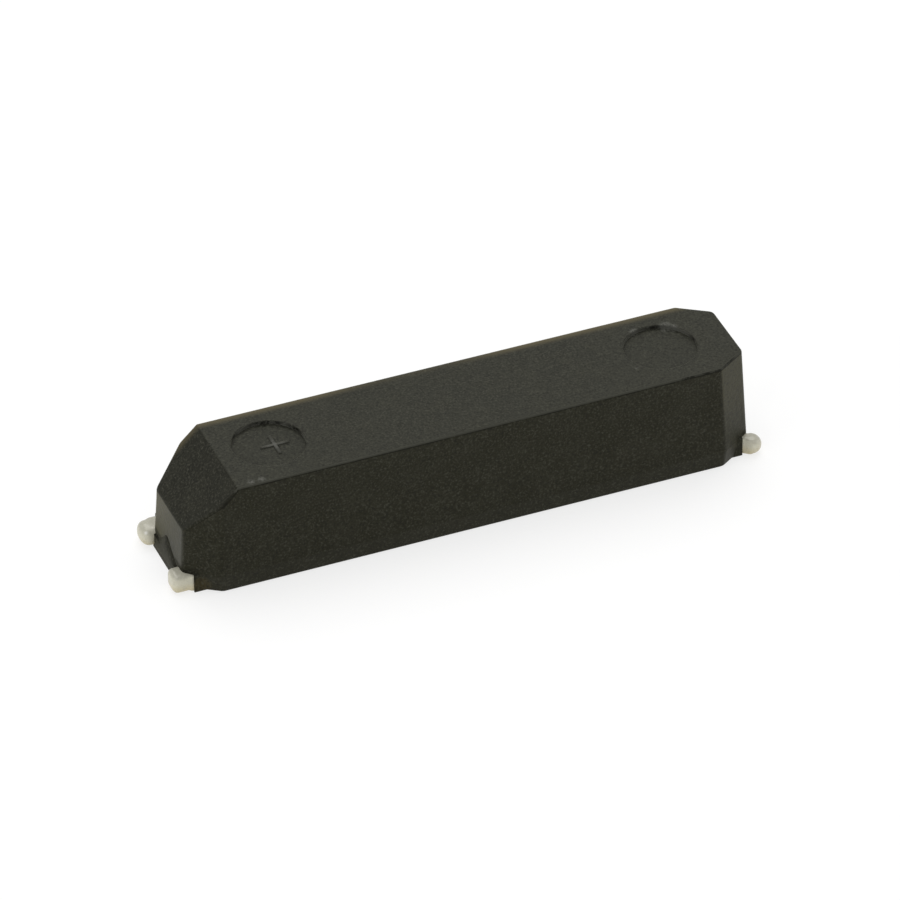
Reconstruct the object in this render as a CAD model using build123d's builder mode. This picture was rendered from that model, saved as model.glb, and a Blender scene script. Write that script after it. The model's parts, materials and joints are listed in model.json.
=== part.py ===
from build123d import *
import os
from math import cos, radians, sin, tan

# Surface mount quartz crystal: a tuning fork sealed in a small metal can, whose two lead wires are
# soldered to a lead frame, all moulded into one bar of black resin.
#
# Millimetres. +X runs along the bar to its square end and -X to its bevelled end, +Z is up, and the
# front is the -Y side. The origin is at the centre of the bottom face, in the plane of the four
# terminals' solder faces.

FRONT, BACK = -1, 1
BEVELLED_END, SQUARE_END = -1, 1

# Resin bar, measured at its parting line
BODY_LENGTH = 6.60
BODY_WIDTH = 1.328
BODY_HEIGHT = 1.316
CORNER_ALONG = 0.36
CORNER_ACROSS = 0.235
SIDE_DRAFT = 1.6
END_DRAFT = 3.1
LOWER_DRAFT = 5.0
BEVEL_RUN = 0.59
BEVEL_ANGLE = 45.0
UPRIGHT_EDGE_RADIUS = 0.08
EDGE_RADIUS = 0.03
BOTTOM_CHAMFER = 0.015

# Resin left between the terminals at each end, where the lead frame had its dam bar, and a thin
# sleeve of it round the root of each terminal
DAM_STANDS_OUT = 0.02
DAM_STEP_DOWN = 0.03
SLEEVE_WALL = 0.018
SLEEVE_BEHIND_END = 0.10

# Marks of the two ejector pins in the top face. The one near the bevel carries a small raised cross.
PIN_MARK_RADIUS = 0.405
PIN_MARK_DEPTH = 0.045
PIN_MARK_TO_BEVEL = 0.185
PIN_MARK_TO_SQUARE_END = 0.455
CROSS_ALONG = 0.32
CROSS_ACROSS = 0.34
CROSS_OFF_CENTRE = 0.07
CROSS_RIB_WIDTH = 0.035
CROSS_RIB_HEIGHT = 0.012

# Lead frame: two terminals at each end. Its top face lies in the mould's parting plane, and it sits a
# little off the bar's centre line.
FRAME_THICKNESS = 0.213
TERMINAL_WIDTH = 0.24
TERMINAL_STANDS_OUT = 0.15
TERMINAL_TO_SIDE = 0.079
FRAME_OFF_CENTRE = 0.07
TIP_DOME = 0.11
TIP_TOP_RADIUS = 0.10
TIP_BOTTOM_RADIUS = 0.06
SOLDER_FACE_BURIED = 0.40
TAB_THICKNESS = 0.12
TAB_PAST_SOLDER = 0.01
TAB_TO_SIDE = 0.08
TAB_TO_CAN = 0.35
ANCHOR_BURIED = 0.34
ANCHOR_HOOK_LENGTH = 0.16
ANCHOR_HOOK_REACH = 0.08

# Crystal can, drawn as a cup, as thick as the resin round it leaves room for, and the glass seal
# pressed into its mouth
RESIN_UNDER_CAN = 0.13
RESIN_OVER_CAN = 0.136
RESIN_BESIDE_CAN = 0.139
CAN_FROM_SQUARE_END = 0.55
CAN_FROM_BEVELLED_END = 1.75
CAN_WALL = 0.07
CAN_END_RADIUS = 0.16
STEM_LENGTH = 0.50
STEM_RING_WALL = 0.08
GLASS_SET_BACK = 0.03

# Lead wires, from the fork through the glass and down to the tabs of the left terminals
WIRE_DIAMETER = 0.13
WIRE_SPACING = 0.34
WIRE_PAST_STEM = 0.40
WIRE_STRAIGHT_OUT = 0.14
WIRE_DROP_RUN = 0.34
WIRE_ON_TAB = 0.42
WIRE_BEND_RADIUS = 0.14
SOLDER_FILM = 0.012

# Quartz tuning fork
FORK_WIDTH = 0.50
FORK_THICKNESS = 0.13
FORK_BASE_LENGTH = 0.85
FORK_SLOT = 0.10
FORK_STEM_GAP = 0.12
FORK_TIP_GAP = 0.35
NOTCH_DEPTH = 0.07
NOTCH_LENGTH = 0.10
NOTCH_TO_CROTCH = 0.22

# Solder joints: a mound over each wire on its tab, and a pad between each wire and the fork
MOUND_BESIDE_WIRE = 0.055
MOUND_BELOW_WIRE_TOP = 0.032
MOUND_LENGTH = 0.32
PAD_WIDTH = 0.15
PAD_LENGTH = 0.24
PAD_BELOW_WIRE_AXIS = 0.02

terminal_pitch = BODY_WIDTH - TERMINAL_WIDTH - 2 * TERMINAL_TO_SIDE
can_height_room = BODY_HEIGHT - RESIN_UNDER_CAN - RESIN_OVER_CAN
can_radius = min(BODY_WIDTH - 2 * RESIN_BESIDE_CAN, can_height_room) / 2
can_axis_z = RESIN_UNDER_CAN + can_radius
can_mouth_x = -BODY_LENGTH / 2 + CAN_FROM_BEVELLED_END
can_end_x = BODY_LENGTH / 2 - CAN_FROM_SQUARE_END
stem_inner_x = can_mouth_x + STEM_LENGTH
stem_radius = can_radius - CAN_WALL
glass_radius = stem_radius - STEM_RING_WALL
wire_inner_x = stem_inner_x + WIRE_PAST_STEM
wire_bend_x = can_mouth_x - WIRE_STRAIGHT_OUT
wire_landing_x = wire_bend_x - WIRE_DROP_RUN
wire_outer_x = wire_landing_x - WIRE_ON_TAB
wire_landing_z = FRAME_THICKNESS + SOLDER_FILM + WIRE_DIAMETER / 2
mound_width = WIRE_DIAMETER + 2 * MOUND_BESIDE_WIRE
mound_height = SOLDER_FILM + WIRE_DIAMETER - MOUND_BELOW_WIRE_TOP
fork_start_x = stem_inner_x + FORK_STEM_GAP
fork_end_x = can_end_x - CAN_WALL - FORK_TIP_GAP
fork_bottom_z = can_axis_z + WIRE_DIAMETER / 2 + SOLDER_FILM


def bar_outline(inset_along, inset_across):
    """The bar seen from above, drawn in from its parting line: a rectangle with its corners cut off."""
    x = BODY_LENGTH / 2 - inset_along
    y = BODY_WIDTH / 2 - inset_across
    cut_x = x - CORNER_ALONG
    cut_y = y - CORNER_ACROSS
    right = [(cut_x, -y), (x, -cut_y), (x, cut_y), (cut_x, y)]
    left = [(-a, b) for a, b in reversed(right)]
    outline = Polygon(*right, *left, align=None)
    fillet(outline.vertices(), UPRIGHT_EDGE_RADIUS)


def terminal(end, side):
    """A terminal: a bar with a domed tip outside the resin, and a thinner tab or hook inside it."""
    middle = side * terminal_pitch / 2 + FRAME_OFF_CENTRE
    tip = BODY_LENGTH / 2 + TERMINAL_STANDS_OUT
    if end == BEVELLED_END:
        root = BODY_LENGTH / 2 - SOLDER_FACE_BURIED
        inner_end = -can_mouth_x + TAB_TO_CAN
        inner_edge = side * ((WIRE_SPACING - mound_width) / 2 - TAB_PAST_SOLDER)
    else:
        root = BODY_LENGTH / 2 - ANCHOR_BURIED
        inner_end = root - ANCHOR_HOOK_LENGTH
        inner_edge = middle - side * (TERMINAL_WIDTH / 2 + ANCHOR_HOOK_REACH)
    outer_edge = side * (BODY_WIDTH / 2 - TAB_TO_SIDE)
    near_y, far_y = middle - TERMINAL_WIDTH / 2, middle + TERMINAL_WIDTH / 2
    dome_x = end * (tip - TIP_DOME)
    with BuildPart() as bar:
        with BuildSketch(Plane.XZ.offset(-middle)) as side_view:
            with Locations((end * (root + tip) / 2, FRAME_THICKNESS / 2)):
                Rectangle(tip - root, FRAME_THICKNESS)
            at_tip = side_view.vertices().sort_by(lambda corner: end * corner.X)[-2:].sort_by(Axis.Z)
            fillet(at_tip[1], TIP_TOP_RADIUS)
            fillet(at_tip[0], TIP_BOTTOM_RADIUS)
        extrude(amount=TERMINAL_WIDTH / 2, both=True)
        with BuildSketch():
            with BuildLine():
                ThreePointArc((dome_x, near_y), (end * tip, middle), (dome_x, far_y))
                Polyline((dome_x, far_y), (end * root, far_y), (end * root, near_y), (dome_x, near_y))
            make_face()
        extrude(amount=FRAME_THICKNESS, mode=Mode.INTERSECT)
        with BuildSketch(Plane.XY.offset(FRAME_THICKNESS)):
            with Locations((end * (root + inner_end) / 2, (inner_edge + outer_edge) / 2)):
                Rectangle(root - inner_end, abs(outer_edge - inner_edge))
        extrude(amount=-TAB_THICKNESS)
    return bar.part


def lead_wire(side):
    """A lead wire: straight through the stem, then a drop to its tab and a straight run on it."""
    with BuildPart() as wire:
        with BuildLine(Plane.XZ.offset(-side * WIRE_SPACING / 2)) as route:
            FilletPolyline(
                (wire_inner_x, can_axis_z),
                (wire_bend_x, can_axis_z),
                (wire_landing_x, wire_landing_z),
                (wire_outer_x, wire_landing_z),
                radius=WIRE_BEND_RADIUS,
            )
        with BuildSketch(Plane(origin=route.line @ 0, z_dir=route.line % 0)):
            Circle(WIRE_DIAMETER / 2)
        sweep()
    return wire.part


def solder_mound(side, wire):
    """Solder over a wire's end on its tab: a low arched mound, with the wire bedded in it."""
    y = side * WIRE_SPACING / 2
    middle_x = (wire_landing_x + wire_outer_x) / 2
    with BuildPart() as mound:
        with BuildSketch(Plane.YZ.offset(middle_x)):
            with BuildLine():
                start = (y - mound_width / 2, FRAME_THICKNESS)
                end = (y + mound_width / 2, FRAME_THICKNESS)
                ThreePointArc(start, (y, FRAME_THICKNESS + mound_height), end)
                Line(end, start)
            make_face()
        extrude(amount=MOUND_LENGTH / 2, both=True)
        add(wire, mode=Mode.SUBTRACT)
    return mound.part


def fork_pad(side, wire):
    """Solder between a wire's inner end and the underside of the fork's base."""
    bottom_z = can_axis_z - PAD_BELOW_WIRE_AXIS
    middle_x = wire_inner_x - WIRE_PAST_STEM / 2 + FORK_STEM_GAP / 2
    with BuildPart() as pad:
        with BuildSketch(Plane.XY.offset(bottom_z)):
            with Locations((middle_x, side * WIRE_SPACING / 2)):
                SlotOverall(PAD_LENGTH, PAD_WIDTH)
        extrude(amount=fork_bottom_z - bottom_z)
        add(wire, mode=Mode.SUBTRACT)
    return pad.part


pieces = {}

# Terminals
for side, name in ((FRONT, "front"), (BACK, "back")):
    pieces[f"terminal_{name}_left"] = terminal(BEVELLED_END, side)
    pieces[f"terminal_{name}_right"] = terminal(SQUARE_END, side)

# Lead wires and their solder joints
for side, name in ((FRONT, "front"), (BACK, "back")):
    wire = lead_wire(side)
    pieces[f"lead_wire_{name}"] = wire
    pieces[f"tab_solder_{name}"] = solder_mound(side, wire)
    pieces[f"fork_solder_{name}"] = fork_pad(side, wire)

# Crystal can: the outside first, which also shapes the resin's cavity, then the cup itself
with BuildPart() as can_outside:
    with BuildSketch(Plane.YZ.offset(can_mouth_x)):
        with Locations((0, can_axis_z)):
            Circle(can_radius)
    extrude(amount=can_end_x - can_mouth_x)
    fillet(can_outside.edges().sort_by(Axis.X)[-1], CAN_END_RADIUS)

with BuildPart() as can:
    add(can_outside.part)
    mouth = can.faces().sort_by(Axis.X)[0]
    offset(amount=-CAN_WALL, openings=mouth)
pieces["crystal_can"] = can.part

# Stem: a metal ring pressed into the can's mouth, closed by glass that holds the two wires
with BuildPart() as stem_ring:
    with BuildSketch(Plane.YZ.offset(can_mouth_x)):
        with Locations((0, can_axis_z)):
            Circle(stem_radius)
            Circle(glass_radius, mode=Mode.SUBTRACT)
    extrude(amount=STEM_LENGTH)
pieces["stem_ring"] = stem_ring.part

with BuildPart() as stem_glass:
    with BuildSketch(Plane.YZ.offset(can_mouth_x + GLASS_SET_BACK)):
        with Locations((0, can_axis_z)):
            Circle(glass_radius)
            with Locations((-WIRE_SPACING / 2, 0), (WIRE_SPACING / 2, 0)):
                Circle(WIRE_DIAMETER / 2, mode=Mode.SUBTRACT)
    extrude(amount=STEM_LENGTH - 2 * GLASS_SET_BACK)
pieces["stem_glass"] = stem_glass.part

# Tuning fork: a base and two tines cut from one quartz plate, with a notch in each side of the base
with BuildPart() as tuning_fork:
    crotch_x = fork_start_x + FORK_BASE_LENGTH
    notch_x = crotch_x - NOTCH_TO_CROTCH
    with BuildSketch(Plane.XY.offset(fork_bottom_z)):
        with Locations((fork_start_x, 0)):
            Rectangle(fork_end_x - fork_start_x, FORK_WIDTH, align=(Align.MIN, Align.CENTER))
        with Locations((crotch_x, 0)):
            Circle(FORK_SLOT / 2, mode=Mode.SUBTRACT)
            Rectangle(fork_end_x - crotch_x, FORK_SLOT, align=(Align.MIN, Align.CENTER), mode=Mode.SUBTRACT)
        with Locations((notch_x, -FORK_WIDTH / 2), (notch_x, FORK_WIDTH / 2)):
            Rectangle(NOTCH_LENGTH, 2 * NOTCH_DEPTH, mode=Mode.SUBTRACT)
    extrude(amount=FORK_THICKNESS)
pieces["tuning_fork"] = tuning_fork.part

# Resin bar: an upper half with draft up to the top face, a lower half with draft down to the bottom
with BuildPart() as moulded_body:
    upper_height = BODY_HEIGHT - FRAME_THICKNESS
    with BuildSketch(Plane.XY.offset(FRAME_THICKNESS)):
        bar_outline(0, 0)
    with BuildSketch(Plane.XY.offset(BODY_HEIGHT)):
        bar_outline(upper_height * tan(radians(END_DRAFT)), upper_height * tan(radians(SIDE_DRAFT)))
    loft(ruled=True)
    bevel = Plane(
        origin=(-BODY_LENGTH / 2 + BEVEL_RUN, 0, BODY_HEIGHT),
        z_dir=(-sin(radians(BEVEL_ANGLE)), 0, cos(radians(BEVEL_ANGLE))),
    )
    split(bisect_by=bevel, keep=Keep.BOTTOM)
    on_parting_line = moulded_body.faces().sort_by(Axis.Z)[0].edges()
    fillet(moulded_body.edges() - on_parting_line, EDGE_RADIUS)

    lower_inset = FRAME_THICKNESS * tan(radians(LOWER_DRAFT))
    with BuildSketch(Plane.XY):
        bar_outline(lower_inset + BOTTOM_CHAMFER, lower_inset + BOTTOM_CHAMFER)
    with BuildSketch(Plane.XY.offset(BOTTOM_CHAMFER)):
        bar_outline(lower_inset, lower_inset)
    with BuildSketch(Plane.XY.offset(FRAME_THICKNESS)):
        bar_outline(0, 0)
    loft(ruled=True)

    # Resin between the terminals at each end, and round their roots
    for end in (BEVELLED_END, SQUARE_END):
        dam_x = end * (BODY_LENGTH / 2 + DAM_STANDS_OUT)
        with BuildSketch(Plane.XY):
            with Locations((dam_x / 2, FRAME_OFF_CENTRE)):
                Rectangle(abs(dam_x), terminal_pitch)
        extrude(amount=FRAME_THICKNESS - DAM_STEP_DOWN)
        sleeve_start = BODY_LENGTH / 2 - SOLDER_FACE_BURIED - SLEEVE_WALL
        sleeve_end = BODY_LENGTH / 2 - SLEEVE_BEHIND_END
        sleeve_width = terminal_pitch + TERMINAL_WIDTH + 2 * SLEEVE_WALL
        with BuildSketch(Plane.XY):
            with Locations((end * (sleeve_start + sleeve_end) / 2, FRAME_OFF_CENTRE)):
                Rectangle(sleeve_end - sleeve_start, sleeve_width)
            Rectangle(BODY_LENGTH, BODY_WIDTH, mode=Mode.INTERSECT)
        extrude(amount=FRAME_THICKNESS + SLEEVE_WALL)

    # Marks of the ejector pins
    left_mark_x = -BODY_LENGTH / 2 + BEVEL_RUN + PIN_MARK_TO_BEVEL + PIN_MARK_RADIUS
    right_mark_x = BODY_LENGTH / 2 - PIN_MARK_TO_SQUARE_END - PIN_MARK_RADIUS
    with BuildSketch(Plane.XY.offset(BODY_HEIGHT)):
        with Locations((left_mark_x, 0), (right_mark_x, 0)):
            Circle(PIN_MARK_RADIUS)
    extrude(amount=-PIN_MARK_DEPTH, mode=Mode.SUBTRACT)
    with BuildSketch(Plane.XY.offset(BODY_HEIGHT - PIN_MARK_DEPTH)):
        with Locations((left_mark_x + CROSS_OFF_CENTRE, 0)):
            Rectangle(CROSS_ALONG, CROSS_RIB_WIDTH)
            Rectangle(CROSS_RIB_WIDTH, CROSS_ACROSS)
    extrude(amount=CROSS_RIB_HEIGHT)

    # The resin fills the space round everything moulded into it
    add(can_outside.part, mode=Mode.SUBTRACT)
    for name, piece in pieces.items():
        if name.startswith(("terminal", "lead_wire", "tab_solder")):
            add(piece, mode=Mode.SUBTRACT)
pieces["moulded_body"] = moulded_body.part

os.makedirs("parts", exist_ok=True)
for name, piece in pieces.items():
    piece.label = name
    export_step(piece, f"parts/{name}.step")
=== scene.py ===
import json
import math

import bmesh
import bpy
from mathutils import Matrix, Vector


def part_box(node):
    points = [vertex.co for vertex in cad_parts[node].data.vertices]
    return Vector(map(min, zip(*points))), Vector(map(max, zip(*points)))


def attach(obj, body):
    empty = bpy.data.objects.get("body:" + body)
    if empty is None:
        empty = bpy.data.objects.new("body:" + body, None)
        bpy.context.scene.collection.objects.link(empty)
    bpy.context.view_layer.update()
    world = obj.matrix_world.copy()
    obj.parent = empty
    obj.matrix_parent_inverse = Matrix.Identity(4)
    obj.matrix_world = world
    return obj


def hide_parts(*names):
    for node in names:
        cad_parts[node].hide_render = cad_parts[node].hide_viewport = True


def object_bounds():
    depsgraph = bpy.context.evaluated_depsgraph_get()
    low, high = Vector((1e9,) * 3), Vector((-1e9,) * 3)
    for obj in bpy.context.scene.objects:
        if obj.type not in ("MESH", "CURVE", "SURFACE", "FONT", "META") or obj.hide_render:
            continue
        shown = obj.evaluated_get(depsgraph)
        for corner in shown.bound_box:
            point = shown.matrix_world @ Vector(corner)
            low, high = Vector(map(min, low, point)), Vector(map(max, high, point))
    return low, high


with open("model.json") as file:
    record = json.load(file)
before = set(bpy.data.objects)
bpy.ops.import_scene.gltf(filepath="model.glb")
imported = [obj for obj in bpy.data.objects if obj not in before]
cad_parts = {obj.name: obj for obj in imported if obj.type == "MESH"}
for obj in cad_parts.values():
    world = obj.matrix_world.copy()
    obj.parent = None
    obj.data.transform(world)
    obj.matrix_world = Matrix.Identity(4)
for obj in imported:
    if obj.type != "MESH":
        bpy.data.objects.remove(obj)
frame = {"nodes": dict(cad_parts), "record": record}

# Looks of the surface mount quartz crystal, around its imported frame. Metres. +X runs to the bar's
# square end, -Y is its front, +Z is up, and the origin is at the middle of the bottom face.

MM = 0.001
cad_low, cad_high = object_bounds()
cad_middle = (cad_low + cad_high) / 2
BODY = "root"


# ---------------------------------------------------------------- node materials

class Shader:
    """A material with one Principled shader, and short calls that add the nodes that feed it."""

    def __init__(self, name):
        self.material = bpy.data.materials.new(name)
        self.material.use_nodes = True
        self.tree = self.material.node_tree
        self.tree.nodes.clear()
        output = self.tree.nodes.new("ShaderNodeOutputMaterial")
        self.surface = self.tree.nodes.new("ShaderNodeBsdfPrincipled")
        self.link(self.surface.outputs[0], output.inputs["Surface"])
        coordinates = self.tree.nodes.new("ShaderNodeTexCoord").outputs["Object"]
        self.place = self.vector("SCALE", coordinates, 1 / MM)
        self.normal = self.tree.nodes.new("ShaderNodeNewGeometry").outputs["Normal"]

    def link(self, source, target):
        self.tree.links.new(source, target)

    def feed(self, socket, value):
        """Links an output to a socket, or sets the socket to a plain value."""
        if isinstance(value, bpy.types.NodeSocket):
            self.link(value, socket)
        else:
            socket.default_value = value

    def set(self, **values):
        """Sets the Principled shader's own sockets: an underscore in a name stands for a space."""
        for name, value in values.items():
            self.feed(self.surface.inputs[name.replace("_", " ")], value)

    def vector(self, operation, a, b):
        node = self.tree.nodes.new("ShaderNodeVectorMath")
        node.operation = operation
        self.feed(node.inputs[0], a)
        self.feed(node.inputs["Scale"] if operation == "SCALE" else node.inputs[1], b)
        return node.outputs["Value" if operation == "DISTANCE" else "Vector"]

    def axes(self, vector):
        node = self.tree.nodes.new("ShaderNodeSeparateXYZ")
        self.feed(node.inputs[0], vector)
        return node.outputs

    def math(self, operation, a, b=0.0):
        node = self.tree.nodes.new("ShaderNodeMath")
        node.operation = operation
        self.feed(node.inputs[0], a)
        self.feed(node.inputs[1], b)
        return node.outputs[0]

    def times(self, *factors):
        """The product of all the factors."""
        product = factors[0]
        for factor in factors[1:]:
            product = self.math("MULTIPLY", product, factor)
        return product

    def either_side(self, value, middle=0.0):
        """How far a value is from the middle, on either side of it."""
        return self.math("ABSOLUTE", self.math("SUBTRACT", value, middle))

    def ramp(self, value, low, high, to_low=0.0, to_high=1.0):
        """Goes smoothly from to_low to to_high while value goes from low to high."""
        node = self.tree.nodes.new("ShaderNodeMapRange")
        node.interpolation_type = "SMOOTHSTEP"
        for socket, number in zip(node.inputs, (value, low, high, to_low, to_high)):
            self.feed(socket, number)
        return node.outputs[0]

    def band(self, value, low, high, fade):
        """1 while value is between low and high, falling to 0 over fade on each side."""
        return self.times(self.ramp(value, low - fade, low), self.ramp(value, high + fade, high))

    def near(self, point, radius, fade):
        """1 within radius of a point in mm, falling to 0 over fade."""
        away = self.vector("DISTANCE", self.place, point)
        return self.ramp(away, radius, radius + fade, 1.0, 0.0)

    def near_any(self, places, fade):
        """1 near any of the places, each a point in mm and the radius of a spot round it."""
        total = 0.0
        for point, radius in places:
            total = self.math("MAXIMUM", total, self.near(point, radius, fade))
        return total

    def noise(self, per_mm, detail=2.0, roughness=0.5, stretch=(1, 1, 1), seed=0.0):
        """Noise about 0.5, with about per_mm features along a millimetre."""
        node = self.tree.nodes.new("ShaderNodeTexNoise")
        node.noise_dimensions = "4D"
        self.link(self.vector("MULTIPLY", self.place, stretch), node.inputs["Vector"])
        node.inputs["W"].default_value = seed
        node.inputs["Scale"].default_value = per_mm
        node.inputs["Detail"].default_value = detail
        node.inputs["Roughness"].default_value = roughness
        return node.outputs["Fac"]

    def mix(self, factor, a, b):
        """Colour a where factor is 0, colour b where it is 1."""
        node = self.tree.nodes.new("ShaderNodeMix")
        node.data_type = "RGBA"
        self.feed(node.inputs["Factor"], factor)
        colours = [socket for socket in node.inputs if socket.type == "RGBA"]
        for socket, colour in zip(colours, (a, b)):
            self.feed(socket, colour if isinstance(colour, bpy.types.NodeSocket) else (*colour, 1.0))
        return next(socket for socket in node.outputs if socket.type == "RGBA")

    def soft_edges(self, radius):
        """The surface's normal, rounded over its edges by a radius in mm."""
        node = self.tree.nodes.new("ShaderNodeBevel")
        node.samples = 6
        node.inputs["Radius"].default_value = radius * MM
        return node.outputs["Normal"]

    def bump(self, *layers, normal=None):
        """Bumps the surface by layers of (height, depth in mm)."""
        for height, depth in layers:
            node = self.tree.nodes.new("ShaderNodeBump")
            node.inputs["Distance"].default_value = depth * MM
            self.link(height, node.inputs["Height"])
            if normal is not None:
                self.link(normal, node.inputs["Normal"])
            normal = node.outputs["Normal"]
        self.link(normal, self.surface.inputs["Normal"])


# ---------------------------------------------------------------- the resin bar

BODY_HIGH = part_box("moulded_body")[1] / MM
BODY_TOP = BODY_HIGH.z

# The lead frame's top face is the mould's parting plane, mm above the bottom
PARTING_HEIGHT = 0.213

# The round pin marks on the top face, and the raised cross in the left one, mm
LEFT_MARK_X, RIGHT_MARK_X = -2.12, 2.44
MARK_RADIUS = 0.405
MARK_DEPTH = 0.045
CROSS_X = -2.05
CROSS_RIB_HEIGHT = 0.012
RIB_TOP = BODY_TOP - MARK_DEPTH + CROSS_RIB_HEIGHT

# Colours of the clean resin, face by face: the walls are browner, walls and bevel darker than the top as
# painted shade, and the top's ends paler as painted light
WALL_TONE_AND_PAINTED_SHADE = (0.0120, 0.0115, 0.0050)
TOP_COLOUR = (0.0210, 0.0215, 0.0165)
TOP_PAINTED_LIGHT_AT_ENDS = (0.0340, 0.0340, 0.0270)
BEVEL_PAINTED_SHADE = (0.0110, 0.0110, 0.0075)

# Colours of its grain
PALE_MOTTLE = (0.0300, 0.0295, 0.0200)
PALE_FINE_GRAIN = (0.0520, 0.0520, 0.0400)
PALE_COARSE_GRAIN = (0.0440, 0.0440, 0.0330)
NEARLY_BLACK = (0.0020, 0.0020, 0.0015)

# Colours of its wear, of its brown patch, of the painted light and painted shade on its ends, edges and
# pin marks, and of the painted shade low down at the ends
# Painted shade low down at the ends
FOOT_PAINTED_SHADE = (0.0050, 0.0045, 0.0020)
# A brown patch beside the front left terminal
BROWN_PATCH_COLOUR = (0.0400, 0.0300, 0.0080)
# Painted light on the end faces and the front right corner face, and on the top's front and back edges
END_PAINTED_LIGHT = (0.0840, 0.0760, 0.0380)
FRONT_EDGE_PAINTED_LIGHT = (0.0460, 0.0460, 0.0380)
BACK_EDGE_PAINTED_LIGHT = (0.1050, 0.0880, 0.0500)
# The cross's pale worn ribs, and the foot they stand on
RUBBED_CROSS = (0.0960, 0.0960, 0.0870)
CROSS_FOOT_COLOUR = (0.0360, 0.0360, 0.0300)
# Scuff marks, and painted glints on the right mark's rim
SCUFF_AND_GLINT_COLOUR = (0.1050, 0.1050, 0.0940)
# Painted light that lifts the shade on the pin marks' walls
MARK_WALL_FOOT_PAINTED_LIGHT = (0.0620, 0.0620, 0.0520)
MARK_WALL_TOP_PAINTED_LIGHT = (0.0340, 0.0340, 0.0280)
MARK_WALL_PAINTED_LIGHT_PATCHES = (0.0900, 0.0900, 0.0780)

# Which way a face looks, as shares of its normal along X, across Y and up: where a mask starts, and
# where it is full
WALL_TO_TOP = (0.30, 0.90)
UPRIGHT = (0.35, 0.20)
LEVEL = (0.90, 0.97)
BEVEL_ALONG, BEVEL_UP = (-0.45, -0.62), (0.35, 0.55)
END_FACE_ALONG = (0.80, 0.95)
RIGHT_CORNER_ALONG, RIGHT_CORNER_ACROSS = (0.25, 0.50), (-0.60, -0.75)
FRONT_ROUNDING_ACROSS = (-0.15, -0.30)
FRONT_WALL_ACROSS = (-0.60, -0.80)
EDGE_SHADE_ACROSS = (-0.30, -0.45)
BACK_ROUNDING_UP = (0.50, 0.80)
MARK_WALL_UP = (0.85, 0.60)

# The same, as bands with a fade: the upper and lower parts of the rounding under the top's front edge
ROUNDING_TOP = (0.45, 0.95, 0.12)
ROUNDING_FOOT = (0.12, 0.35, 0.06)
EDGE_SHADE_UP = (0.15, 0.85, 0.08)

# How the grain shows: the noise at which it starts, the noise at which it is full, and how strong it is at
# each of the two
MOTTLE_PALE = (0.35, 0.72, 0.0, 0.35)
FINE_PALE, FINE_DARK = (0.50, 0.70, 0.0, 0.8), (0.50, 0.30, 0.0, 0.8)
COARSE_PALE, COARSE_DARK = (0.55, 0.72, 0.0, 0.35), (0.45, 0.28, 0.0, 0.35)

# The same for how the grain breaks up what lies over it
UNDER_EDGE_BREAKS = (0.40, 0.60, 0.30, 0.95)
EDGE_SHADE_BREAKS = (0.40, 0.56, 0.15, 0.85)
DARK_STRETCH_BREAKS = (0.40, 0.55, 0.30, 0.85)
MARK_WALL_BREAKS = (0.32, 0.46)
CROSS_BREAKS = (0.35, 0.62, 0.35, 0.90)
SCUFF_AND_GLINT_BREAKS = (0.35, 0.60, 0.20, 1.00)

# How strong the painted light on the end faces is at their front and their back, and the mm that it goes
# between. There is none round the lump where the mould was filled.
END_LIGHT_FROM_Y, END_LIGHT_TO_Y = -0.40, 0.35
END_LIGHT_FRONT, END_LIGHT_BACK = 0.08, 0.85
LUMP_FOOT = (-3.30, -0.05, 0.22)
LUMP_CLEAR = (0.12, 0.32)
# Painted light on the front right corner face: the heights between which it grows, mm, and how strong it is
CORNER_LIGHT_HEIGHTS, CORNER_LIGHT = (0.20, 1.00), 0.42

# Painted light: the top is paler from the first to the second distance from the middle, mm
TOP_PALER_FROM, TOP_PALER_TO, TOP_PALER = 1.2, 3.0, 0.30

# The rougher resin between and round the terminals, which is also painted darker as shade: how far out it
# starts, how far above the parting plane it fades, and how much that height wanders, mm
DULL_FROM_X, DULL_FULL_X = 3.14, 3.26
DULL_FADE = (0.08, 0.02)
DULL_WANDER = 0.03
DULL_WANDER_NOISE = (0.3, 0.7)
FOOT_SHADE_SHARE = 0.9
# The brown patch beside the front left terminal: where it is, its radius and its fade, mm
BROWN_PATCH_AT, BROWN_PATCH_RADIUS, BROWN_PATCH_FADE = (-3.14, -0.58, 0.08), 0.08, 0.06

# How far below the top face the front edge's painted light and the pin marks' painted walls end and start, mm
FRONT_LIGHT_ENDS, FRONT_LIGHT_FULL = 0.06, 0.04
FRONT_LIGHT_SHARE = 0.85
MARK_WALL_ENDS, MARK_WALL_FULL = 0.06, 0.05
MARK_MARGIN, MARK_FADE = 0.03, 0.02

# The cross: shares of its ribs' height below and above their tops, and distances from its middle in mm
FOOT_FROM, FOOT_FULL = 0.95, 0.80
FOOT_REACH, FOOT_FADE = 0.20, 0.02
FOOT_SHARE = 0.7
RIB_BELOW, RIB_ABOVE, RIB_FADE = 0.5, 0.4, 0.3
PALE_RIB_REACH, PALE_RIB_FADE = 0.01, 0.18

# The painted light on the back edge is weaker in its middle, mm
BACK_LIGHT_Y = (0.500, 0.625)
BACK_LIGHT_MIDDLE_X = -0.2
BACK_LIGHT_FROM, BACK_LIGHT_TO, BACK_LIGHT_LEAST = 0.3, 1.3, 0.3

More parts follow.
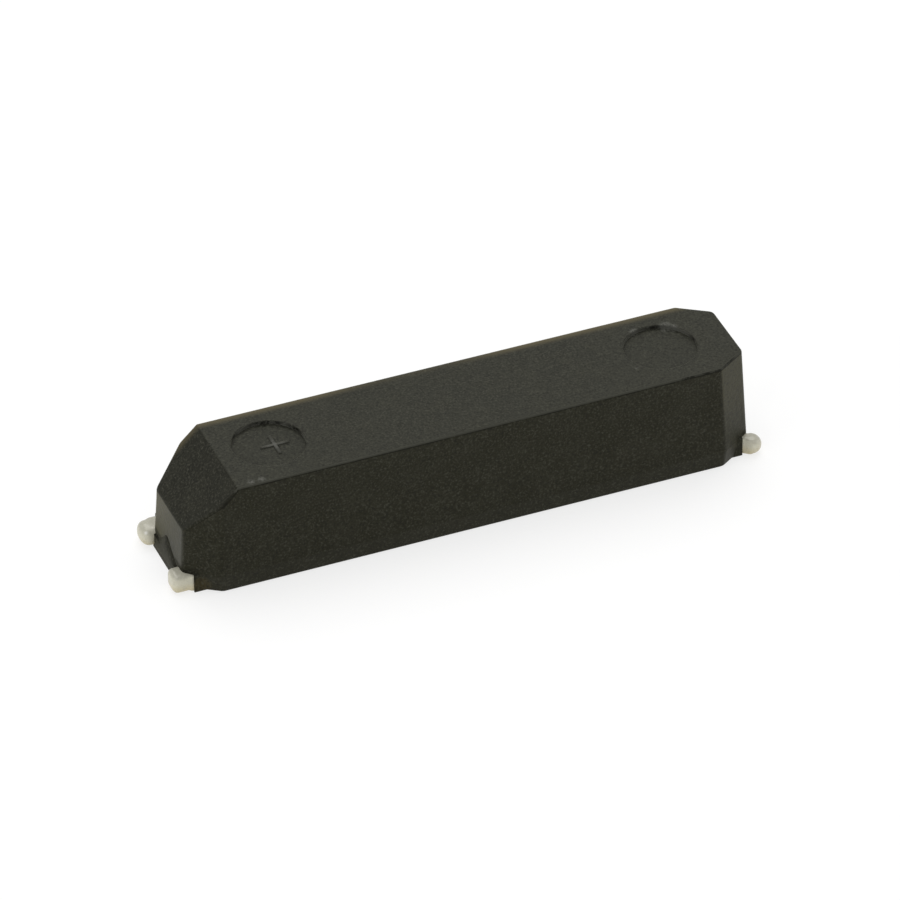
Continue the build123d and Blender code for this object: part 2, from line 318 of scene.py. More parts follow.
# Round the pin marks: points and radii of the dark stretches of painted shade on their walls, and of the
# scuff marks and painted glints, mm. A scuff with no radius is only its own fade, and one with a radius
# below zero is fainter still.
MARK_WALL_MIDDLE = BODY_TOP - MARK_DEPTH / 2
PAINTED_SHADE_STRETCHES = (
    ((LEFT_MARK_X + 0.13, 0.38, MARK_WALL_MIDDLE), 0.09),
    ((LEFT_MARK_X + 0.35, 0.16, MARK_WALL_MIDDLE), 0.02),
    ((LEFT_MARK_X - 0.29, 0.27, MARK_WALL_MIDDLE), 0.01),
    ((RIGHT_MARK_X + 0.08, 0.39, MARK_WALL_MIDDLE), 0.01),
    ((RIGHT_MARK_X + 0.40, 0.00, MARK_WALL_MIDDLE), 0.02),
)
DARK_STRETCH_FADE = 0.16
SCUFFS_AND_GLINTS = (
    # The first three are painted glints on the right mark's back rim; the others are pale scuff marks.
    ((RIGHT_MARK_X - 0.15, 0.380, BODY_TOP), 0.010),
    ((RIGHT_MARK_X + 0.21, 0.340, BODY_TOP), 0.035),
    ((RIGHT_MARK_X + 0.27, 0.290, BODY_TOP), 0.015),
    ((RIGHT_MARK_X - 0.39, -0.260, BODY_TOP), -0.020),
    ((-2.42, -0.57, BODY_TOP), 0.000),
    ((-2.54, -0.57, BODY_TOP), 0.000),
)
SCUFF_AND_GLINT_FADE = 0.06

# Places on the sharp edges round the top where the painted shade of the dark line under them is strongest, mm
EDGE_SHADE_RADIUS, EDGE_SHADE_FADE = 0.05, 0.07
EDGE_SHADE_PLACES = tuple((place, EDGE_SHADE_RADIUS) for place in (
    (2.50, -0.60, 1.29),
    (2.62, -0.60, 1.29),
    (2.76, -0.60, 1.29),
    (2.90, -0.58, 1.29),
    (3.02, -0.50, 1.29),
    (-2.79, -0.60, 1.20),
    (-2.87, -0.61, 1.12),
))

# The grain: features along a millimetre, and depths of the bumps in mm
FINE_PER_MM, FINE_DEPTH = 42, 0.0016
COARSE_PER_MM, COARSE_DEPTH = 20, 0.0024
DIMPLES_PER_MM, DIMPLE_DEPTH = 13, 0.0018
MOTTLE_PER_MM = 3.0
EDGE_SOFTNESS = 0.03
ROUGHNESS_NOISE, ROUGHNESS = (0.3, 0.7), (0.42, 0.54)
DULL_ROUGHER = 0.2
RESIN_IOR = 1.5
RESIN_SPECULAR = 0.16
RESIN_SPECULAR_TINT = (1.0, 0.99, 0.80, 1.0)
RESIN_SHEEN, RESIN_SHEEN_ROUGHNESS = 0.12, 0.35
RESIN_SHEEN_TINT = (1.0, 0.97, 0.72, 1.0)


class ResinShader(Shader):
    """Black resin with a fine matte grain. Each method puts one more thing on the colour that it takes."""

    def __init__(self, name):
        super().__init__(name)
        self.x, self.y, self.height = self.axes(self.place)
        self.along, self.across, self.upward = self.axes(self.normal)
        self.fine = self.noise(FINE_PER_MM, detail=2, roughness=0.6)
        self.coarse = self.noise(COARSE_PER_MM, detail=2, roughness=0.6, seed=4)
        self.mottle = self.noise(MOTTLE_PER_MM, detail=3, seed=2)

    def faces(self):
        """Browner walls, greyer top. Painted shade makes the walls and the bevel darker; painted light makes
        the top's ends paler.
        """
        colour = self.mix(self.ramp(self.upward, *WALL_TO_TOP), WALL_TONE_AND_PAINTED_SHADE, TOP_COLOUR)
        bevel = self.times(self.ramp(self.along, *BEVEL_ALONG), self.ramp(self.upward, *BEVEL_UP))
        colour = self.mix(bevel, colour, BEVEL_PAINTED_SHADE)
        far_out = self.ramp(self.either_side(self.x), TOP_PALER_FROM, TOP_PALER_TO, 0.0, TOP_PALER)
        return self.mix(self.times(self.ramp(self.upward, *LEVEL), far_out), colour, TOP_PAINTED_LIGHT_AT_ENDS)

    def painted_light_on_ends(self, colour):
        """Painted light: the end faces are paler toward the back, and the front right corner face toward its
        top.
        """
        end_face = self.times(
            self.ramp(self.either_side(self.along), *END_FACE_ALONG),
            self.ramp(self.y, END_LIGHT_FROM_Y, END_LIGHT_TO_Y, END_LIGHT_FRONT, END_LIGHT_BACK),
            self.ramp(self.vector("DISTANCE", self.place, LUMP_FOOT), *LUMP_CLEAR),
        )
        corner_face = self.times(
            self.ramp(self.along, *RIGHT_CORNER_ALONG),
            self.ramp(self.across, *RIGHT_CORNER_ACROSS),
            self.ramp(self.height, *CORNER_LIGHT_HEIGHTS, 0.0, CORNER_LIGHT),
        )
        painted_light = self.times(self.ramp(self.upward, *UPRIGHT), self.math("ADD", end_face, corner_face))
        return self.mix(painted_light, colour, END_PAINTED_LIGHT)

    def dull_and_shaded_foot(self):
        """1 low down at the ends, where the resin between and round the terminals is rougher and painted
        darker as shade.
        """
        wander = self.ramp(self.mottle, *DULL_WANDER_NOISE, -DULL_WANDER, DULL_WANDER)
        above_parting = self.math("SUBTRACT", self.math("ADD", self.height, wander), PARTING_HEIGHT)
        far_out = self.ramp(self.either_side(self.x), DULL_FROM_X, DULL_FULL_X)
        return self.times(far_out, self.ramp(above_parting, *DULL_FADE))

    def grained(self, colour):
        """Broad pale mottling under pale and dark specks of two sizes."""
        colour = self.mix(self.ramp(self.mottle, *MOTTLE_PALE), colour, PALE_MOTTLE)
        colour = self.mix(self.ramp(self.fine, *FINE_PALE), colour, PALE_FINE_GRAIN)
        colour = self.mix(self.ramp(self.fine, *FINE_DARK), colour, NEARLY_BLACK)
        colour = self.mix(self.ramp(self.coarse, *COARSE_PALE), colour, PALE_COARSE_GRAIN)
        return self.mix(self.ramp(self.coarse, *COARSE_DARK), colour, NEARLY_BLACK)

    def painted_light_and_shade_on_edges(self, colour):
        """Painted light on the top's front edge with a broken dark line of painted shade under it, and paler
        painted light still on its back edge.
        """
        front_edge = self.times(
            self.band(self.upward, *ROUNDING_TOP),
            self.ramp(self.across, *FRONT_ROUNDING_ACROSS),
            self.ramp(self.height, BODY_TOP - FRONT_LIGHT_ENDS, BODY_TOP - FRONT_LIGHT_FULL),
            FRONT_LIGHT_SHARE,
        )
        colour = self.mix(front_edge, colour, FRONT_EDGE_PAINTED_LIGHT)
        # Painted shade: a broken dark line under the front edge
        shade_under_edge = self.times(
            self.band(self.upward, *ROUNDING_FOOT),
            self.ramp(self.across, *FRONT_WALL_ACROSS),
            self.ramp(self.mottle, *UNDER_EDGE_BREAKS),
        )
        colour = self.mix(shade_under_edge, colour, NEARLY_BLACK)
        # More painted shade on that line at a few places
        edge_shade_places = self.times(
            self.near_any(EDGE_SHADE_PLACES, EDGE_SHADE_FADE),
            self.band(self.upward, *EDGE_SHADE_UP),
            self.ramp(self.across, *EDGE_SHADE_ACROSS),
            self.ramp(self.coarse, *EDGE_SHADE_BREAKS),
        )
        colour = self.mix(edge_shade_places, colour, NEARLY_BLACK)
        # Painted light on the back edge
        from_middle = self.either_side(self.x, BACK_LIGHT_MIDDLE_X)
        back_edge = self.times(
            self.ramp(self.y, *BACK_LIGHT_Y),
            self.ramp(self.upward, *BACK_ROUNDING_UP),
            self.ramp(from_middle, BACK_LIGHT_FROM, BACK_LIGHT_TO, BACK_LIGHT_LEAST, 1.0),
        )
        return self.mix(back_edge, colour, BACK_EDGE_PAINTED_LIGHT)

    def painted_light_and_shade_in_marks(self, colour):
        """Painted light lifts the pin marks' walls to about the top's tone, apart from a few dark stretches
        of painted shade.
        """
        reach = MARK_RADIUS + MARK_MARGIN
        marks = [((middle, 0.0, BODY_TOP), reach) for middle in (LEFT_MARK_X, RIGHT_MARK_X)]
        mark_wall = self.times(
            self.near_any(marks, MARK_FADE),
            self.ramp(self.upward, *MARK_WALL_UP),
            self.ramp(self.either_side(self.height, BODY_TOP), MARK_WALL_ENDS, MARK_WALL_FULL),
        )
        rise = self.ramp(self.height, BODY_TOP - MARK_DEPTH, BODY_TOP)
        wall = self.mix(rise, MARK_WALL_FOOT_PAINTED_LIGHT, MARK_WALL_TOP_PAINTED_LIGHT)
        wall = self.mix(self.ramp(self.mottle, *MARK_WALL_BREAKS), wall, MARK_WALL_PAINTED_LIGHT_PATCHES)
        # Painted shade in stretches of the walls
        painted_shade_stretch = self.times(
            self.near_any(PAINTED_SHADE_STRETCHES, DARK_STRETCH_FADE),
            self.ramp(self.coarse, *DARK_STRETCH_BREAKS),
        )
        return self.mix(mark_wall, colour, self.mix(painted_shade_stretch, wall, NEARLY_BLACK))

    def worn_cross(self, colour):
        """The cross's ribs have rubbed pale, most of all at their middle, and stand on a darker foot."""
        middle = (CROSS_X, 0.0, RIB_TOP)
        foot_low, foot_high = RIB_TOP - CROSS_RIB_HEIGHT * FOOT_FROM, RIB_TOP - CROSS_RIB_HEIGHT * FOOT_FULL
        foot = self.times(
            self.ramp(self.height, foot_low, foot_high),
            self.near(middle, FOOT_REACH, FOOT_FADE),
            FOOT_SHARE,
        )
        colour = self.mix(foot, colour, CROSS_FOOT_COLOUR)
        rib_low, rib_high = RIB_TOP - CROSS_RIB_HEIGHT * RIB_BELOW, RIB_TOP + CROSS_RIB_HEIGHT * RIB_ABOVE
        ribs = self.times(
            self.band(self.height, rib_low, rib_high, CROSS_RIB_HEIGHT * RIB_FADE),
            self.near(middle, PALE_RIB_REACH, PALE_RIB_FADE),
            self.ramp(self.coarse, *CROSS_BREAKS),
        )
        return self.mix(ribs, colour, RUBBED_CROSS)

    def scuffs_and_painted_glints(self, colour):
        """Painted glints on the right mark's rim, and small pale scuff marks round it and at the top's front
        left corner.
        """
        scuffs_and_glints = self.times(self.near_any(SCUFFS_AND_GLINTS, SCUFF_AND_GLINT_FADE), self.ramp(self.fine, *SCUFF_AND_GLINT_BREAKS))
        return self.mix(scuffs_and_glints, colour, SCUFF_AND_GLINT_COLOUR)


def moulded_resin(name, dull_and_shaded_all_over=False):
    """The resin's material: face tones, painted light and shade and a brown patch, then the grain, and then
    wear, painted light and painted shade over both.
    """
    s = ResinShader(name)
    dull_and_shaded = 1.0 if dull_and_shaded_all_over else s.dull_and_shaded_foot()
    colour = s.painted_light_on_ends(s.faces())
    # Painted shade low down at the ends, where the resin is also rougher
    colour = s.mix(s.times(dull_and_shaded, FOOT_SHADE_SHARE), colour, FOOT_PAINTED_SHADE)
    # A brown patch beside the front left terminal
    colour = s.mix(s.near(BROWN_PATCH_AT, BROWN_PATCH_RADIUS, BROWN_PATCH_FADE), colour, BROWN_PATCH_COLOUR)
    colour = s.painted_light_and_shade_on_edges(s.grained(colour))
    colour = s.scuffs_and_painted_glints(s.worn_cross(s.painted_light_and_shade_in_marks(colour)))
    grain_roughness = s.ramp(s.fine, *ROUGHNESS_NOISE, *ROUGHNESS)
    s.set(
        Base_Color=colour,
        Roughness=s.math("ADD", grain_roughness, s.times(dull_and_shaded, DULL_ROUGHER)),
        IOR=RESIN_IOR,
        Specular_IOR_Level=RESIN_SPECULAR,
        Specular_Tint=RESIN_SPECULAR_TINT,
        Sheen_Weight=RESIN_SHEEN,
        Sheen_Roughness=RESIN_SHEEN_ROUGHNESS,
        Sheen_Tint=RESIN_SHEEN_TINT,
    )
    dimples = s.noise(DIMPLES_PER_MM, detail=2, seed=7)
    s.bump(
        (dimples, DIMPLE_DEPTH), (s.coarse, COARSE_DEPTH), (s.fine, FINE_DEPTH),
        normal=s.soft_edges(EDGE_SOFTNESS),
    )
    return s.material


# ---------------------------------------------------------------- metals, glass and quartz

METAL_BUMP = 0.0015                         # depth of the grain, mm
METAL_CLOUD = (0.3, 0.7)                    # noise between which the cloud turns the colour darker
METAL_GRAIN = (0.35, 0.70, 0.0, 0.35)       # the same for the grain, and how strong it is at each end
METAL_SMOOTHER, METAL_ROUGHER = 0.06, 0.08  # how far the roughness goes to either side of its middle
GLASS_CLOUD_PER_MM, GLASS_BUMP = 4, 0.002
GLASS_CLEARNESS = 0.85
GLASS_ROUGHNESS = (0.04, 0.12)


def soft_metal(name, colour, dark, roughness, stretch=(1, 1, 1), per_mm=20.0):
    """Metal whose colour and gloss vary along a fine grain; a long stretch across the grain brushes it."""
    s = Shader(name)
    grain = s.noise(per_mm, detail=3, stretch=stretch)
    cloud = s.noise(per_mm / 8, detail=2, seed=3)
    toned = s.mix(s.ramp(cloud, *METAL_CLOUD), colour, dark)
    s.set(
        Base_Color=s.mix(s.ramp(grain, *METAL_GRAIN), toned, dark),
        Metallic=1.0,
        Roughness=s.ramp(grain, 0.3, 0.7, roughness - METAL_SMOOTHER, roughness + METAL_ROUGHER),
    )
    s.bump((grain, METAL_BUMP))
    return s.material


def clear_solid(name, colour, tint, ior):
    """Glass or quartz: clear, with faint clouds."""
    s = Shader(name)
    cloud = s.noise(GLASS_CLOUD_PER_MM, detail=3)
    s.set(
        Base_Color=s.mix(s.ramp(cloud, 0.35, 0.7), colour, tint),
        Transmission_Weight=GLASS_CLEARNESS,
        IOR=ior,
        Roughness=s.ramp(cloud, 0.3, 0.7, *GLASS_ROUGHNESS),
    )
    s.bump((cloud, GLASS_BUMP))
    return s.material


TIN_ON_SIDES = (0.68, 0.655, 0.520)
# The tin's tops are darker than its sides as painted shade
TIN_TOP_PAINTED_SHADE = (0.48, 0.465, 0.380)
TIN_LOW_DOWN = (0.70, 0.610, 0.365)
TIN_CLOUD = (0.46, 0.440, 0.370)
TIN_PALE_GRAIN = (0.72, 0.710, 0.630)
TIN_DARK_GRAIN = (0.42, 0.400, 0.330)
# A painted glint on the back left terminal
TIN_PAINTED_GLINT = (0.95, 0.950, 0.930)
TIN_GLINT_SPOT = (-3.383, 0.430, 0.176)    # on the back left terminal, mm
TIN_GLINT_RADIUS, TIN_GLINT_FADE = 0.020, 0.018
TIN_LOW_HEIGHTS = (0.15, 0.02)              # from where to where the yellow grows, mm above the floor
TIN_LOW_CLOUDS = (0.2, 0.6, 0.6, 1.0)       # noise and strength of the clouds that break it up
TIN_CLOUD_SHOWS = (0.45, 0.80, 0.0, 0.4)
TIN_PALE_SHOWS, TIN_DARK_SHOWS = (0.5, 0.7, 0.0, 0.4), (0.5, 0.3, 0.0, 0.4)
TIN_GRAIN_PER_MM, TIN_GRAIN_DEPTH = 55, 0.0016
TIN_DENTS_PER_MM, TIN_DENT_DEPTH = 26, 0.0035
TIN_CLOUDS_PER_MM, TIN_CLOUD_DEPTH = 9, 0.0060
TIN_ROUGHNESS = (0.46, 0.60)
TIN_METALLIC = 0.15
TIN_COAT, TIN_COAT_ROUGHNESS = 0.6, 0.10


def tin_plate():
    """Matte tin on the terminals: pale warm grey, darker on top as painted shade, yellower and duller low
    down, and a painted glint.
    """
    s = Shader("tin_plate")
    height = s.axes(s.place)[2]
    upward = s.axes(s.normal)[2]
    grain = s.noise(TIN_GRAIN_PER_MM, detail=3, roughness=0.6)
    dents = s.noise(TIN_DENTS_PER_MM, detail=2, seed=8)
    cloud = s.noise(TIN_CLOUDS_PER_MM, detail=2, seed=5)
    low_down = s.times(s.ramp(height, *TIN_LOW_HEIGHTS), s.ramp(cloud, *TIN_LOW_CLOUDS))
    # Painted shade: darker on top
    colour = s.mix(s.ramp(upward, 0.1, 0.9), TIN_ON_SIDES, TIN_TOP_PAINTED_SHADE)
    colour = s.mix(low_down, colour, TIN_LOW_DOWN)
    colour = s.mix(s.ramp(cloud, *TIN_CLOUD_SHOWS), colour, TIN_CLOUD)
    colour = s.mix(s.ramp(grain, *TIN_PALE_SHOWS), colour, TIN_PALE_GRAIN)
    colour = s.mix(s.ramp(grain, *TIN_DARK_SHOWS), colour, TIN_DARK_GRAIN)
    # Painted glint
    colour = s.mix(s.near(TIN_GLINT_SPOT, TIN_GLINT_RADIUS, TIN_GLINT_FADE), colour, TIN_PAINTED_GLINT)
    s.set(
        Base_Color=colour,
        Metallic=TIN_METALLIC,
        Roughness=s.ramp(grain, 0.3, 0.7, *TIN_ROUGHNESS),
        Coat_Weight=TIN_COAT,
        Coat_Roughness=TIN_COAT_ROUGHNESS,
    )
    s.bump((cloud, TIN_CLOUD_DEPTH), (dents, TIN_DENT_DEPTH), (grain, TIN_GRAIN_DEPTH))
    return s.material


resin = moulded_resin("moulded_resin")
# The lump is rougher, and painted dark all over as shade
lump_resin = moulded_resin("lump_resin", dull_and_shaded_all_over=True)
tin = tin_plate()
BRUSHED_ALONG_CAN, BRUSHED_ALONG_WIRE = (0.06, 1, 1), (0.08, 1, 1)
can_steel = soft_metal(
    "can_steel", (0.66, 0.65, 0.62), (0.55, 0.53, 0.49), 0.30, stretch=BRUSHED_ALONG_CAN, per_mm=40.0)
stem_steel = soft_metal("stem_steel", (0.60, 0.59, 0.56), (0.46, 0.45, 0.42), 0.38)
wire_metal = soft_metal(
    "wire_metal", (0.70, 0.66, 0.56), (0.58, 0.54, 0.44), 0.28, stretch=BRUSHED_ALONG_WIRE, per_mm=60.0)
solder = soft_metal("solder", (0.66, 0.66, 0.64), (0.50, 0.50, 0.49), 0.34, per_mm=12.0)
seal_glass = clear_solid("seal_glass", (0.16, 0.30, 0.24), (0.09, 0.20, 0.16), ior=1.52)
quartz = clear_solid("quartz", (0.90, 0.93, 0.95), (0.82, 0.86, 0.90), ior=1.54)

# What each node is made of, by how its name starts. The terminals are replaced further down.
FINISHES = {
    "moulded_body": resin,
    "crystal_can": can_steel,
    "stem_ring": stem_steel,
    "stem_glass": seal_glass,
    "lead_wire": wire_metal,
    "tab_solder": solder,
    "fork_solder": solder,
    "tuning_fork": quartz,
}
for name, node in frame["nodes"].items():
    for start, finish in FINISHES.items():
        if name.startswith(start):
            node.data.materials.clear()
            node.data.materials.append(finish)


# ---------------------------------------------------------------- pieces from rings of points

def bridge(mesh, rings):
    """Joins closed rings of points in mm by quads, and gives back the rings' corners."""
    loops = [[mesh.verts.new(Vector(point) * MM) for point in points] for points in rings]
    for near_loop, far_loop in zip(loops, loops[1:]):
        for i in range(len(near_loop)):
            j = (i + 1) % len(near_loop)
            mesh.faces.new((near_loop[i], near_loop[j], far_loop[j], far_loop[i]))
    return loops


def make_piece(name, mesh, smooth_faces, material, replaced=None):
    """Makes a piece that rides on the body. Its first faces are shaded smooth, apart from its end caps."""
    bmesh.ops.recalc_face_normals(mesh, faces=mesh.faces)
    data = bpy.data.meshes.new(name)
    mesh.to_mesh(data)
    mesh.free()
    for face in data.polygons:
        face.use_smooth = len(face.vertices) < 5 and face.index < smooth_faces
    piece = bpy.data.objects.new(name, data)
    bpy.context.scene.collection.objects.link(piece)
    piece.data.materials.append(material)
    if replaced is not None:
        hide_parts(replaced)
    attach(piece, BODY)


# ---------------------------------------------------------------- the tinned terminals

TERMINAL_WIDTH = 0.24                    # across Y where it leaves the resin, mm
TAB_THICKNESS = 0.12                     # of the buried tab or hook, mm
TAB_TO_SIDE = 0.08                       # from the tab's outer edge to the bar's side, mm
SLEEVE_END = 3.20                        # how far out from the middle the resin sleeves reach, mm
ROOT_AT = {-1: 2.90, 1: 2.96}            # where the bar thins into its tab, at the left and right ends, mm
INSIDE_SLEEVE = 0.995                    # share of SLEEVE_END where the bar's last straight ring is
BAR_SQUARENESS = 9.0
RING_POINTS = 48
RINGS_IN_LOBE = 12
RINGS_IN_TIP = 14

# The coat of tin on each tip, in mm: how far its end stays inside the drawn tip, how long and how blunt
# its rounded end is, how far its middle is from the bar's middle, the half sizes of its section, how
# square the section is, and over what length outside the sleeve the bar swells into it.
TIN_COATS = {
    "front_left": dict(
        inset=0.020, dome=0.075, blunt=2.8, y=0.005, z=0.1120,
        wide=0.122, high=0.1120, square=3.8, swell=0.05,
    ),
    "back_left": dict(
        inset=0.000, dome=0.110, blunt=2.3, y=-0.020, z=0.1160,
        wide=0.148, high=0.1155, square=2.6, swell=0.14,
    ),
    "front_right": dict(
        inset=0.020, dome=0.120, blunt=2.1, y=-0.103, z=0.1060,
        wide=0.116, high=0.1030, square=2.4, swell=0.11,
    ),
    "back_right": dict(
        inset=0.010, dome=0.110, blunt=2.2, y=0.000, z=0.1065,
        wide=0.120, high=0.1065, square=2.8, swell=0.06,
    ),
}


def ring(x, y, z, wide, high, square):
    """A closed ring across X, in mm: an ellipse at square=2, nearly a rectangle at square=10."""
    points = []
    for i in range(RING_POINTS):
        turn = 2 * math.pi * i / RING_POINTS
        across, up = math.cos(turn), math.sin(turn)
        points.append((
            x,
            y + wide * math.copysign(abs(across) ** (2 / square), across),
            z + high * math.copysign(abs(up) ** (2 / square), up),
        ))
    return points


def smooth(value):
    """Goes smoothly from 0 to 1 while value does."""
    value = min(max(value, 0.0), 1.0)
    return value * value * (3 - 2 * value)


def terminal_rings(coat, end, bar_y, root, cad_tip):
    """Rings from the buried root of a terminal to its tip: a square bar that swells into a rounded lobe."""
    tip = cad_tip - end * coat["inset"]
    shoulder = tip - end * coat["dome"]
    bar = (bar_y, PARTING_HEIGHT / 2, TERMINAL_WIDTH / 2, PARTING_HEIGHT / 2, BAR_SQUARENESS)
    lobe = (bar_y + coat["y"], coat["z"], coat["wide"], coat["high"], coat["square"])

    def section(x):
        swell = smooth((abs(x) - SLEEVE_END) / coat["swell"])
        return [a + (b - a) * swell for a, b in zip(bar, lobe)]

    rings = [ring(root, *bar), ring(end * SLEEVE_END * INSIDE_SLEEVE, *bar)]
    for i in range(RINGS_IN_LOBE + 1):
        x = end * SLEEVE_END + (shoulder - end * SLEEVE_END) * i / RINGS_IN_LOBE
        rings.append(ring(x, *section(x)))
    for i in range(1, RINGS_IN_TIP):
        turn = math.pi / 2 * i / RINGS_IN_TIP
        x = shoulder + end * coat["dome"] * math.sin(turn) ** (2 / coat["blunt"])
        shrink = math.cos(turn) ** (2 / coat["blunt"])
        y, z, wide, high, square = section(x)
        rings.append(ring(x, y, z, wide * shrink, high * shrink, square))
    point = (tip, *section(tip)[:2])
    return rings, point


def tinned_terminal(place, coat):
    """A terminal with its coat of tin on the tip, and the thinner tab or hook that the tin doesn't reach."""
    name = "terminal_" + place
    low, high = (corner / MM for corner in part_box(name))
    solder_face = next(
        mount for mount in frame["record"]["mounts"] if mount["name"] == "solder_face_" + place)
    end = 1 if high.x > 0 else -1
    side = 1 if high.y > 0 else -1
    cad_tip, inner = (high.x, low.x) if end > 0 else (low.x, high.x)
    root = end * ROOT_AT[end]
    rings, point = terminal_rings(coat, end, solder_face["pos_m"][1] / MM, root, cad_tip)

    mesh = bmesh.new()
    loops = bridge(mesh, rings)
    mesh.faces.new(loops[0])
    tip_corner = mesh.verts.new(Vector(point) * MM)
    for i in range(RING_POINTS):
        mesh.faces.new((loops[-1][i], loops[-1][(i + 1) % RING_POINTS], tip_corner))
    smooth_faces = len(mesh.faces)

    # The buried tab or hook
    outer_y = side * (BODY_HIGH.y - TAB_TO_SIDE)
    inner_y = low.y if side > 0 else high.y
    tab = bmesh.ops.create_cube(mesh, size=1)["verts"]
    size = Vector((abs(root - inner), abs(outer_y - inner_y), TAB_THICKNESS)) * MM
    middle = Vector(((root + inner) / 2, (outer_y + inner_y) / 2, PARTING_HEIGHT - TAB_THICKNESS / 2)) * MM
    bmesh.ops.transform(mesh, matrix=Matrix.Translation(middle) @ Matrix.Diagonal((*size, 1)), verts=tab)
    make_piece(name + "_tinned", mesh, smooth_faces, tin, replaced=name)


for place, coat in TIN_COATS.items():
    tinned_terminal(place, coat)


# ---------------------------------------------------------------- resin lump on the bevelled end

# Where the mould was filled, a low lump of resin bridges the step of the dam between the terminals. Its
# section: how far past the end face's foot it stands, in mm, and its height as a share of the lump's.
LUMP_SECTION = (
    (-0.030, 0.12), (0.016, 0.12), (0.021, 0.22), (0.023, 0.38), (0.023, 0.54), (0.021, 0.66),
    (0.015, 0.76), (0.007, 0.85), (-0.002, 0.93), (-0.013, 1.00), (-0.030, 1.00),
)
LUMP_FROM_Y, LUMP_TO_Y = -0.30, 0.44
LUMP_PEAK_Y = 0.05
LUMP_BACK_SPREAD, LUMP_FRONT_SPREAD = 0.15, 0.22
LUMP_FOOT_HEIGHT, LUMP_PEAK_HEIGHT = 0.205, 0.390
LUMP_WAVE, LUMP_WAVE_RATE, LUMP_WAVE_START = 0.006, 31.0, 0.6
LUMP_STEPS = 48
END_FACE_FOOT = 3.30


def lump_height(y):
    """How high the lump reaches at y, in mm."""
    away = (y - LUMP_PEAK_Y) / (LUMP_BACK_SPREAD if y > LUMP_PEAK_Y else LUMP_FRONT_SPREAD)
    wave = LUMP_WAVE * math.sin(LUMP_WAVE_RATE * y + LUMP_WAVE_START)
    return LUMP_FOOT_HEIGHT + (LUMP_PEAK_HEIGHT - LUMP_FOOT_HEIGHT) * math.exp(-away * away) + wave


def resin_lump():
    """The lump, as one section after another along Y."""
    rings = []
    for i in range(LUMP_STEPS + 1):
        y = LUMP_FROM_Y + (LUMP_TO_Y - LUMP_FROM_Y) * i / LUMP_STEPS
        high = lump_height(y)
        rings.append([(-END_FACE_FOOT - out, y, high * share) for out, share in LUMP_SECTION])
    mesh = bmesh.new()
    loops = bridge(mesh, rings)
    mesh.faces.new(loops[0])
    mesh.faces.new(loops[-1])
    make_piece("resin_lump", mesh, len(mesh.faces), lump_resin)


resin_lump()


# ---------------------------------------------------------------- floor, light and camera

FLOOR_SIZE = 2.0
FLOOR_PALE = 0.80           # how pale it is to the light that it gives back
FLOOR_SHADE, FLOOR_GLOW = 0.34, 0.70    # seen directly: the part that takes shadow, and the part that doesn't
WORLD_COLOUR, WORLD_LIGHT = (1.0, 1.0, 0.98), 0.50


def seen_directly(tree):
    """1 for rays that come from the camera or from a reflection or refraction, 0 for diffuse light."""
    path = tree.nodes.new("ShaderNodeLightPath")
    total = path.outputs["Is Camera Ray"]
    for ray in ("Is Glossy Ray", "Is Transmission Ray"):
        node = tree.nodes.new("ShaderNodeMath")
        node.operation = "MAXIMUM"
        tree.links.new(total, node.inputs[0])
        tree.links.new(path.outputs[ray], node.inputs[1])
        total = node.outputs[0]
    return total


def pale_floor():
    """A pale floor. Seen directly it is white with a faint shadow. It gives back light as pale paint does."""
    material = bpy.data.materials.new("pale_floor")
    material.use_nodes = True
    tree = material.node_tree
    tree.nodes.clear()
    output = tree.nodes.new("ShaderNodeOutputMaterial")
    paint, shade = (tree.nodes.new("ShaderNodeBsdfDiffuse") for _ in range(2))
    paint.inputs["Color"].default_value = (FLOOR_PALE, FLOOR_PALE, FLOOR_PALE, 1.0)
    shade.inputs["Color"].default_value = (FLOOR_SHADE, FLOOR_SHADE, FLOOR_SHADE, 1.0)
    glow = tree.nodes.new("ShaderNodeEmission")
    glow.inputs["Color"].default_value = (1.0, 1.0, 1.0, 1.0)
    glow.inputs["Strength"].default_value = FLOOR_GLOW
    seen = tree.nodes.new("ShaderNodeAddShader")
    tree.links.new(shade.outputs[0], seen.inputs[0])
    tree.links.new(glow.outputs[0], seen.inputs[1])
    choose = tree.nodes.new("ShaderNodeMixShader")
    tree.links.new(seen_directly(tree), choose.inputs[0])
    tree.links.new(paint.outputs[0], choose.inputs[1])
    tree.links.new(seen.outputs[0], choose.inputs[2])
    tree.links.new(choose.outputs[0], output.inputs["Surface"])

    data = bpy.data.meshes.new("floor")
    half = FLOOR_SIZE / 2
    corners = [(-half, -half, 0), (half, -half, 0), (half, half, 0), (-half, half, 0)]
    data.from_pydata(corners, [], [(0, 1, 2, 3)])
    data.materials.append(material)
    floor = bpy.data.objects.new("floor", data)
    floor.location.z = cad_low.z
    bpy.context.scene.collection.objects.link(floor)


def pale_world():
    """Even, weak light from all round."""
    world = bpy.data.worlds.new("pale_world")
    bpy.context.scene.world = world
    world.use_nodes = True
    tree = world.node_tree
    tree.nodes.clear()
    output = tree.nodes.new("ShaderNodeOutputWorld")
    background = tree.nodes.new("ShaderNodeBackground")
    background.inputs["Color"].default_value = (*WORLD_COLOUR, 1.0)
    background.inputs["Strength"].default_value = WORLD_LIGHT
    tree.links.new(background.outputs[0], output.inputs["Surface"])


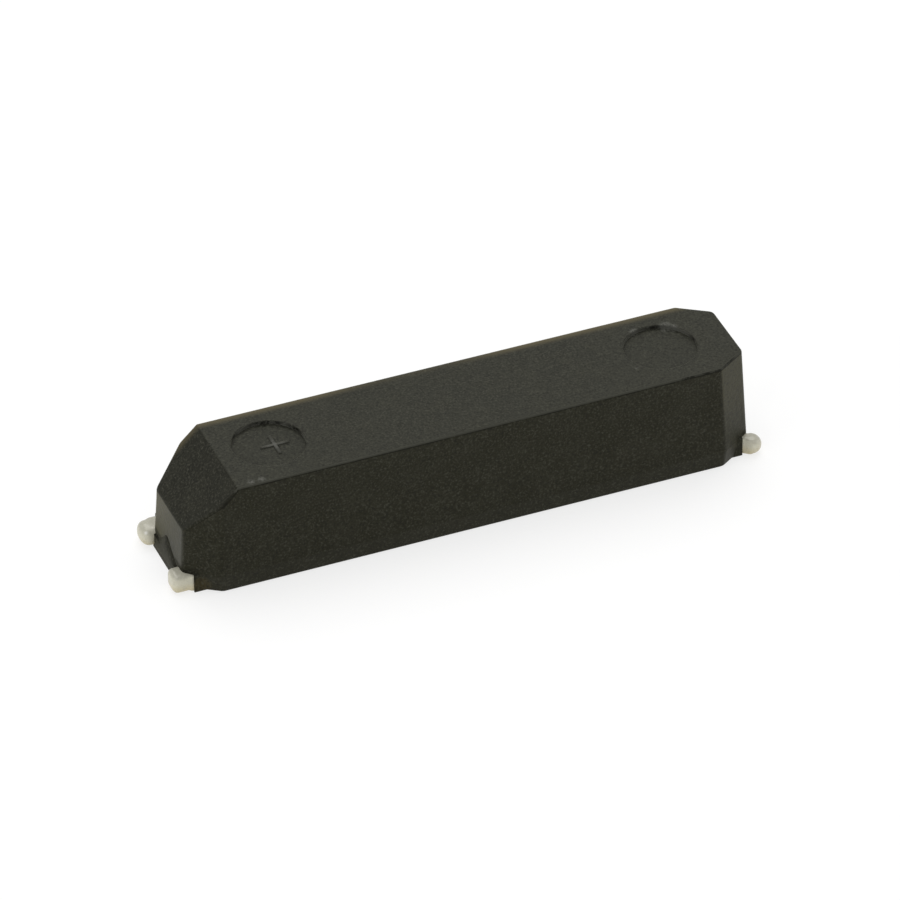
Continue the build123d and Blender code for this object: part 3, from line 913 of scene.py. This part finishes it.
# Soft lamps round the object, all at one distance: each one's direction, its sizes in metres, and how
# bright its face looks. The small one in front makes the glints on the tin.
LAMP_DISTANCE = 0.30
LAMPS = {
    "back_top_box": ((0.12, 0.42, 0.90), 0.30, 0.26, 1.9),
    "left_box": ((-0.85, -0.15, 0.50), 0.16, 0.16, 1.5),
    "right_box": ((0.88, -0.25, 0.40), 0.14, 0.14, 1.5),
    "glint_lamp": ((-0.605, -0.695, 0.387), 0.03, 0.03, 20.0),
}


def soft_box(name, direction, width, depth, brightness):
    """An area lamp that faces the object from a direction."""
    light = bpy.data.lights.new(name, "AREA")
    light.shape = "RECTANGLE"
    light.size, light.size_y = width, depth
    light.energy = brightness * math.pi * width * depth
    lamp = bpy.data.objects.new(name, light)
    away = Vector(direction).normalized()
    lamp.location = cad_middle + away * LAMP_DISTANCE
    lamp.rotation_euler = away.to_track_quat("Z", "Y").to_euler()
    bpy.context.scene.collection.objects.link(lamp)


# The camera: a long lens, a little rolled, aimed just beside the middle of the object. Angles in degrees,
# lens and sensor in mm.
CAMERA_AZIMUTH = -21.92
CAMERA_ELEVATION = 36.58
CAMERA_ROLL = -0.43
CAMERA_DISTANCE = 86.54 * MM
CAMERA_LENS, CAMERA_SENSOR = 320.0, 36.0
CAMERA_AIM = Vector((-0.030, 0.002, -0.031)) * MM
CAMERA_SEES_FROM, CAMERA_SEES_TO = 0.01, 10.0


def product_camera():
    azimuth, elevation, roll = map(math.radians, (CAMERA_AZIMUTH, CAMERA_ELEVATION, CAMERA_ROLL))
    level = math.cos(elevation)
    back = Vector((math.sin(azimuth) * level, -math.cos(azimuth) * level, math.sin(elevation)))
    data = bpy.data.cameras.new("camera")
    data.lens = CAMERA_LENS
    data.sensor_width = CAMERA_SENSOR
    data.clip_start, data.clip_end = CAMERA_SEES_FROM, CAMERA_SEES_TO
    camera = bpy.data.objects.new("camera", data)
    camera.rotation_mode = "QUATERNION"
    turn = Matrix.Rotation(roll, 3, "Z").to_quaternion()
    camera.rotation_quaternion = (-back).to_track_quat("-Z", "Y") @ turn
    camera.location = cad_middle + CAMERA_AIM + back * CAMERA_DISTANCE
    bpy.context.scene.collection.objects.link(camera)
    bpy.context.scene.camera = camera


pale_floor()
pale_world()
for name, lamp in LAMPS.items():
    soft_box(name, *lamp)
product_camera()
bpy.context.scene.view_settings.view_transform = "Standard"
